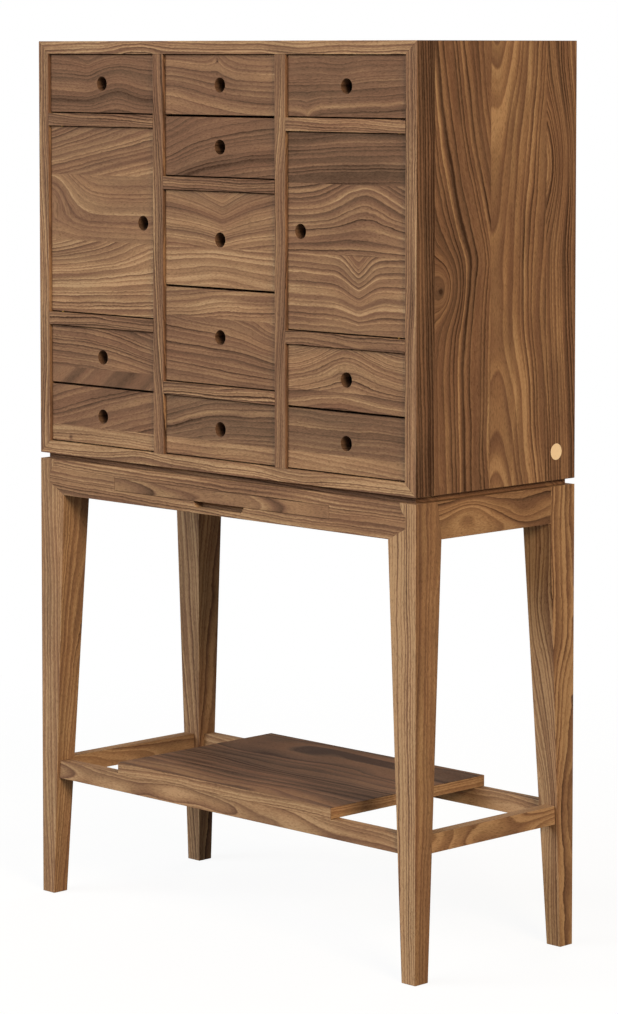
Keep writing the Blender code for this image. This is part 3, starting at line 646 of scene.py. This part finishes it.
for side in ("left", "right"):
    nodeName = "carcass_side_" + side
    staves = between([carcass["frontFace"], *carcass["sideJoints"][side], carcass["backFace"]])
    edge = ownFigure(nodeName, carcass["edgeNumber"], light=0.62, contrast=1.2, wander=34, **straightGrain)
    boards = [dict(region={"y": (-beyond, carcass["frontFace"])}, axes="zx", figure=edge)]
    for number, limits in enumerate(staves):
        figure = sideFigures[number] if side == "right" else ownFigure(nodeName, number)
        boards.append(dict(region={"y": limits}, axes="zy", figure=figure))
    boards.append(dict(axes="zx", figure=edge))
    dress(nodeName, boards)

deckLights = {"carcass_top": 0.72, "carcass_bottom": 0.68}
for nodeName, light in deckLights.items():
    staves = between([-beyond, *carcass["deckJoints"], beyond])
    boards = [dict(region={"y": limits}, axes="xy", figure=ownFigure(nodeName, number))
              for number, limits in enumerate(staves)]
    boards[0].update(axes="xz", figure=dict(light=light, contrast=1.1, ring=6, pith=(-60, 20, 0.0),
                                            arches=[(-200, 0, 60, 40, 9), (190, 0, 70, 40, -8)]))
    dress(nodeName, boards)

for side, sign in (("left", -1), ("right", 1)):
    nodeName = "partition_" + side
    middle = sign * carcass["partitionMiddle"]
    half = carcass["partitionHalf"]
    lipping = ownFigure(nodeName, 2, light=0.54 - sign * 0.02, tilt=sign * 0.05, wander=34, **straightGrain)
    boards = [
        dict(region={"x": (-beyond, middle - half)}, axes="yx", figure=ownFigure(nodeName, 0)),
        dict(region={"x": (middle + half, beyond)}, axes="yx", figure=ownFigure(nodeName, 1)),
        dict(region={"y": (-beyond, carcass["lipping"])}, axes="zx", figure=lipping),
        dict(axes="zy", figure=ownFigure(nodeName, 3)),
    ]
    dress(nodeName, boards)

dividerTones = {   # light and contrast of the lower and the upper one
    "left": ((0.48, 1.3), (0.47, 1.1)),
    "middle": ((0.56, 1.5), (0.41, 1.1)),
    "right": ((0.56, 0.9), (0.6, 1.1)),
}
for column, tones in dividerTones.items():
    for level, (light, contrast) in zip(("lower", "upper"), tones):
        nodeName = f"{column}_divider_{level}"
        lipping = ownFigure(nodeName, 0, light=light, contrast=contrast, wander=36, **straightGrain)
        dress(nodeName, [dict(region={"y": (-beyond, carcass["lipping"])}, axes="xz", figure=lipping),
                         dict(axes="xy", figure=ownFigure(nodeName, 1))])

panels = between([-beyond, *carcass["panelJoints"], beyond])
dress("back_panel", [dict(region={"x": limits}, axes="zx",
                          figure=ownFigure("back_panel", number, contrast=0.7, pith=(-90, 60, 0.03)))
                     for number, limits in enumerate(panels)])
print("carcass: done")

# The stand is of lighter walnut than the fronts; each leg, apron and stretcher is one piece of wood.
stand = {"shelfJoint": -97, "shelfFace": -184.98, "shelfEnd": 259.48, "waistRail": 51}
standAxes = {
    "leg_front_left": "zx", "leg_front_right": "zx", "leg_back_left": "zx", "leg_back_right": "zx",
    "apron_front": "xz", "apron_back": "xz", "apron_left": "yz", "apron_right": "yz", "tray_front": "xz",
    "stretcher_front": "xz", "stretcher_back": "xz", "stretcher_left": "yz", "stretcher_right": "yz",
}
standFigures = {
    "leg": dict(light=0.72, contrast=0.9, ring=5, pith=(-60, -44, 0.0), wander=14),
    "apron": dict(light=0.63, contrast=1.0, ring=6, pith=(-70, 30, 0.01), wander=18),
    "tray": dict(light=0.55, contrast=0.9, ring=5, pith=(-6, 60, 0.04)),
    "stretcher": dict(light=0.8, contrast=0.75, ring=5, pith=(-14, 50, 0.02), wander=34),
}
standDetails = {
    "leg_front_right": dict(light=0.67, contrast=0.55), "leg_front_left": dict(light=0.73, contrast=0.75),
    "leg_back_right": dict(light=0.81, contrast=1.1, arches=[(-150, 0, 120, 30, 22), (170, 0, 100, 30, -18)]),
    "apron_right": dict(light=0.71, contrast=0.85, ring=5, seed=1, pith=(-20, 60, 0.03),
                        arches=[(-60, 10, 45, 22, 16), (70, -10, 50, 24, -14)]),
    "stretcher_right": dict(light=0.89, contrast=1.1),
}
for nodeName, axes in standAxes.items():
    figure = {**standFigures[nodeName.split("_")[0]], **standDetails.get(nodeName, {})}
    boards = [dict(axes=axes, figure=ownFigure(nodeName, **figure))]
    if nodeName == "leg_front_right":
        pale = ownFigure(nodeName, **{**figure, "light": 0.97, "contrast": 1.1})
        boards.insert(0, dict(region={"y": (-beyond, carcass["frontFace"])}, axes=axes, figure=pale))
    dress(nodeName, boards)
shelfEnd = ownFigure("shelf", 3, light=0.85, contrast=0.6, **straightGrain)
dress("shelf", [
    dict(region={"x": (-beyond, -stand["shelfEnd"])}, axes="yz", figure=shelfEnd),
    dict(region={"x": (stand["shelfEnd"], beyond)}, axes="yz", figure=shelfEnd),
    dict(region={"y": (-beyond, stand["shelfFace"])}, axes="xz",
         figure=ownFigure("shelf", 2, light=0.86, contrast=0.75, **straightGrain)),
    # the shelf's two top boards are toned much darker than its edges and ends: painted shade from the cabinet
    # above, darkest on the rear board
    dict(region={"y": (stand["shelfFace"], stand["shelfJoint"])}, axes="xy",
         figure=ownFigure("shelf", 0, light=0.32, contrast=1.0, ring=18, wander=44)),
    dict(region={"y": (stand["shelfJoint"], beyond)}, axes="xy",
         figure=ownFigure("shelf", 1, light=0.22, contrast=0.8, ring=14, wander=36)),
])
low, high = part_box("waist_frame")
front, back = low[1] / mm + stand["waistRail"], high[1] / mm - stand["waistRail"]
dress("waist_frame", [
    dict(region={"y": (-beyond, front)}, axes="xy", figure=ownFigure("waist_frame", 0)),
    dict(region={"y": (back, beyond)}, axes="xy", figure=ownFigure("waist_frame", 1)),
    dict(axes="yx", figure=ownFigure("waist_frame", 2)),
])
print("stand: done")

# Drawer boxes are of maple: sides dovetailed to the front, a back and a thin bottom.
boxes = {"wall": 11, "floor": 13.5, "floorSeam": 0.1, "wallLight": 0.55, "floorLight": 0.6}
smallEasing = {"pin": 0.3, "disc": 0.15}
for nodeName in nodes:
    if nodeName.endswith("_box"):
        low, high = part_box(nodeName)
        left, right = low[0] / mm + boxes["wall"], high[0] / mm - boxes["wall"]
        floorTop = low[2] / mm + boxes["floor"]
        floorBack = high[1] / mm - boxes["wall"] - boxes["floorSeam"]
        walls = [ownFigure(nodeName, number, light=boxes["wallLight"]) for number in (0, 1, 3)]
        base = ownFigure(nodeName, 2, light=boxes["floorLight"])
        boards = [
            dict(region={"x": (-beyond, left)}, axes="yz", figure=walls[0]),
            dict(region={"x": (right, beyond)}, axes="yz", figure=walls[1]),
            dict(region={"z": (-beyond, floorTop), "y": (-beyond, floorBack)}, axes="xy", figure=base),
            dict(axes="xz", figure=walls[2]),
        ]
        dress(nodeName, boards)
for side in ("left", "right"):
    nodeName = "tray_runner_" + side
    dress(nodeName, [dict(axes="yz", figure=ownFigure(nodeName))])
    for level in ("lower", "upper"):
        nodeName = f"{side}_door_pin_{level}"
        dress(nodeName, [dict(axes="zx", figure={})], width=smallEasing["pin"])
dress("inlay_disc", [dict(axes="zy", figure=dict(light=0.5, contrast=0.4))],
      width=smallEasing["disc"])
print("boxes, pins and inlay: done")

# The set is a pale floor that fades into white, a broad cool key from the left, a lamp in front,
# a warmer fill from the right and a weak back light, all large and far off and so soft.
studio = {
    "floorColour": "#A3A19D", "floorLevel": 0.29, "floorSize": 14.0, "floorDrop": 0.2,
    "shadowShare": 0.3, "shadowFrom": 0.7, "shadowTo": 2.4,     # metres from the cabinet's middle
    "ambient": 0.1, "aim": (0.0, 0.0, 0.85),
    "lamps": {   # azimuth and elevation in degrees, distance and size in metres, power in watts
        "left key": dict(azimuth=-35, elevation=26, distance=12.0, size=6.0, power=931, colour="#E3F0FF"),
        "front": dict(azimuth=-4, elevation=26, distance=12.0, size=5.0, power=397, colour="#FFFFFF"),
        "fill": dict(azimuth=68, elevation=24, distance=12.0, size=4.0, power=1066, colour="#FFE7C7"),
        "back": dict(azimuth=205, elevation=35, distance=12.0, size=6.0, power=250, colour="#FFFFFF"),
    },
}


def seenDirectly(add):
    path = add("LightPath").outputs
    glossy = add("Math", path["Is Camera Ray"], path["Is Glossy Ray"], operation="MAXIMUM")
    return add("Math", glossy, path["Is Transmission Ray"], operation="MAXIMUM")


floorMesh = bpy.data.meshes.new("floor")
reach = studio["floorSize"] / 2
floorMesh.from_pydata([(-reach, -reach, 0), (reach, -reach, 0), (reach, reach, 0), (-reach, reach, 0)], [],
                      [(0, 1, 2, 3)])
floor = bpy.data.objects.new("floor", floorMesh)
floor.location.z = -studio["floorDrop"] * mm
bpy.context.scene.collection.objects.link(floor)
# Matt emulsion, rolled on a smooth board: it scatters light evenly and shows no gloss, so a shadow lies
# on it as a soft grey. Away from the cabinet it fades into the white of the backdrop.
floorPaint, add = newMaterial("floor matt pale paint")
matt = add("BsdfDiffuse", hexColour(studio["floorColour"]))
flatPlace = add("VectorMath", add("NewGeometry").outputs["Position"], (1, 1, 0), operation="MULTIPLY")
apart = add("VectorMath", flatPlace, operation="LENGTH").outputs["Value"]
whiteShare = add("MapRange", apart, studio["shadowFrom"], studio["shadowTo"], 1 - studio["shadowShare"], 1.0)
# the white glows just enough for floor without shadow to come out white
level = studio["floorLevel"]
dimmed = add("Math", whiteShare, level, 1 - level, operation="MULTIPLY_ADD")
glow = add("Math", dimmed, whiteShare, operation="DIVIDE")
white = add("Emission", (1, 1, 1, 1), glow)
shown = add("Math", whiteShare, seenDirectly(add), operation="MULTIPLY")
add("OutputMaterial", add("MixShader", shown, matt, white))
floorMesh.materials.append(floorPaint)

world = bpy.data.worlds.new("studio")
world.use_nodes = True
world.node_tree.nodes.clear()
add = functools.partial(addNode, world.node_tree)
strength = add("MapRange", sockets={"Value": seenDirectly(add), "To Min": studio["ambient"], "To Max": 1.0})
add("OutputWorld", add("Background", (1, 1, 1, 1), strength))
bpy.context.scene.world = world

for title, lamp in studio["lamps"].items():
    azimuth, elevation = math.radians(lamp["azimuth"]), math.radians(lamp["elevation"])
    toLamp = Vector((math.sin(azimuth) * math.cos(elevation), -math.cos(azimuth) * math.cos(elevation),
                     math.sin(elevation)))
    data = bpy.data.lights.new(title, "AREA")
    data.size = lamp["size"]
    data.energy = lamp["power"]
    data.color = hexColour(lamp["colour"])[:3]
    light = bpy.data.objects.new(title, data)
    light.location = Vector(studio["aim"]) + toLamp * lamp["distance"]
    light.rotation_euler = (-toLamp).to_track_quat("-Z", "Y").to_euler()
    light.visible_camera = False
    bpy.context.scene.collection.objects.link(light)
print("studio: done")

# The camera stands at the right front corner, a little below the cabinet's top, its lens shifted down.
viewpoint = {"place": (4.23355, -4.18405, 1.48427), "azimuth": 45.18, "tilt": 4.13, "lens": 124.85,
             "sensor": 36.0, "shift": -0.20}
lens = bpy.data.cameras.new("camera")
lens.lens = viewpoint["lens"]
lens.sensor_width = viewpoint["sensor"]
lens.sensor_fit = "AUTO"
lens.shift_y = viewpoint["shift"]
camera = bpy.data.objects.new("camera", lens)
azimuth, tilt = math.radians(viewpoint["azimuth"]), math.radians(viewpoint["tilt"])
camera.location = viewpoint["place"]
forward = Vector((-math.sin(azimuth) * math.cos(tilt), math.cos(azimuth) * math.cos(tilt), -math.sin(tilt)))
sideways = Vector((math.cos(azimuth), math.sin(azimuth), 0))
upright = sideways.cross(forward)
camera.rotation_euler = Matrix((sideways, upright, -forward)).transposed().to_euler()
bpy.context.scene.collection.objects.link(camera)
bpy.context.scene.camera = camera
bpy.context.scene.view_settings.view_transform = "Standard"
